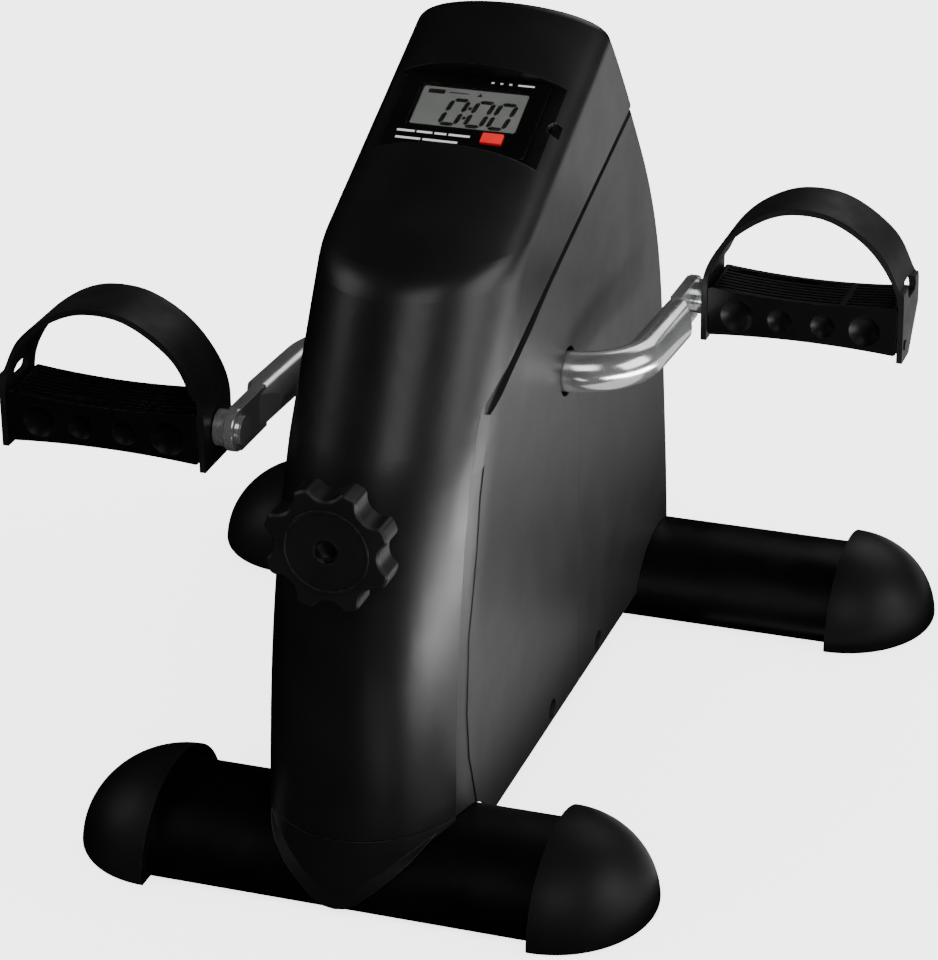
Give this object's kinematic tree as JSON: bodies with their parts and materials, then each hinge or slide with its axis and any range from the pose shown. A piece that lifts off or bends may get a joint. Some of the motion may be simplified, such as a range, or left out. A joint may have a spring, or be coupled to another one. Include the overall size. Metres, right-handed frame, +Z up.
{
  "type": "pedal exerciser",
  "caption": "Compact floor pedal exerciser: domed-foot beams, narrow housing, strapped pedals on a chrome crank, tension knob and monitor.",
  "frame": {"origin": "on the floor, midway between the front and the rear beam and between the two pedals' sides", "axes": "+Z up; -Y towards the user, where the tension knob and the monitor are; +X to the user's right when facing the monitor"},
  "size_m": [0.3418, 0.3622, 0.3071],
  "materials": {
    "housing_black": "satin moulded, fine grain",
    "housing_panel": "satin moulded, fine grain",
    "beam_black": "semi-gloss powder coat",
    "cap_black": "satin moulded",
    "frame_steel": "black paint",
    "zinc_steel": "zinc plated",
    "bush_nylon": "natural nylon",
    "crank_chrome": "polished chrome",
    "drum_iron": "turned rim",
    "band_steel": "spring steel",
    "knob_black": "satin moulded",
    "bezel_black": "semi-gloss",
    "display_clear": "clear polycarbonate window",
    "lcd_grey": "reflective LCD, grey green",
    "board_green": "solder mask",
    "cell_steel": "nickel plated",
    "button_red": "soft red",
    "magnet_grey": "ferrite",
    "pedal_black": "satin moulded",
    "strap_rubber": "moulded rubber"
  },
  "bodies": {
    "root": {"beam_bolts": "zinc_steel", "brake_band": "band_steel", "button_cell": "cell_steel", "circuit_board": "board_green", "column_foot": "housing_black", "display_window": "display_clear", "front_beam": "beam_black", "front_cover": "housing_black", "front_left_foot_cap": "cap_black", "front_right_foot_cap": "cap_black", "housing_screws": "zinc_steel", "lcd_panel": "lcd_grey", "left_bearing": "bush_nylon", "left_side_shell": "housing_panel", "main_frame": "frame_steel", "monitor_back": "bezel_black", "monitor_case": "bezel_black", "rear_beam": "beam_black", "rear_left_foot_cap": "cap_black", "rear_right_foot_cap": "cap_black", "right_bearing": "bush_nylon", "right_side_shell": "housing_panel", "speed_sensor": "bezel_black"},
    "crank": {"right_crank": "crank_chrome", "left_crank": "crank_chrome", "right_spindle": "crank_chrome", "left_spindle": "crank_chrome", "right_spindle_nut": "zinc_steel", "left_spindle_nut": "zinc_steel", "friction_drum": "drum_iron", "drum_magnet": "magnet_grey"},
    "right_pedal": {"right_pedal_block": "pedal_black", "right_foot_strap": "strap_rubber"},
    "left_pedal": {"left_pedal_block": "pedal_black", "left_foot_strap": "strap_rubber"},
    "knob": {"tension_knob": "knob_black", "tension_rod": "zinc_steel"},
    "tensioner": {"tension_block": "zinc_steel"},
    "button": {"mode_button": "button_red"}
  },
  "joints": [
    {"name": "crank_spin", "type": "hinge", "parent": "root", "child": "crank", "pos_m": [0, 0, 0.166], "axis": [1, 0, 0], "continuous": true},
    {"name": "right_pedal_spin", "type": "hinge", "parent": "crank", "child": "right_pedal", "pos_m": [0.1185, 0.09938, 0.16392], "axis": [1, 0, 0], "continuous": true},
    {"name": "left_pedal_spin", "type": "hinge", "parent": "crank", "child": "left_pedal", "pos_m": [-0.1185, -0.09938, 0.16808], "axis": [1, 0, 0], "continuous": true},
    {"name": "tension_turn", "type": "hinge", "parent": "root", "child": "knob", "pos_m": [0, -0.174, 0.1586], "axis": [0, 1, 0], "range_deg": [0, 1440]},
    {"name": "tension_travel", "type": "slide", "parent": "root", "child": "tensioner", "axis": [0, -1, 0], "range_m": [0, 0.004]},
    {"name": "mode_press", "type": "slide", "parent": "root", "child": "button", "axis": [0, 0.4226, -0.9063], "range_m": [0, 0.0008], "stiffness_N_per_m": 300, "springref_m": -0.0005}
  ],
  "couplings": [
    {"joint": "tension_travel", "follows": "tension_turn", "m_per_rad": 0.00015915}
  ]
}
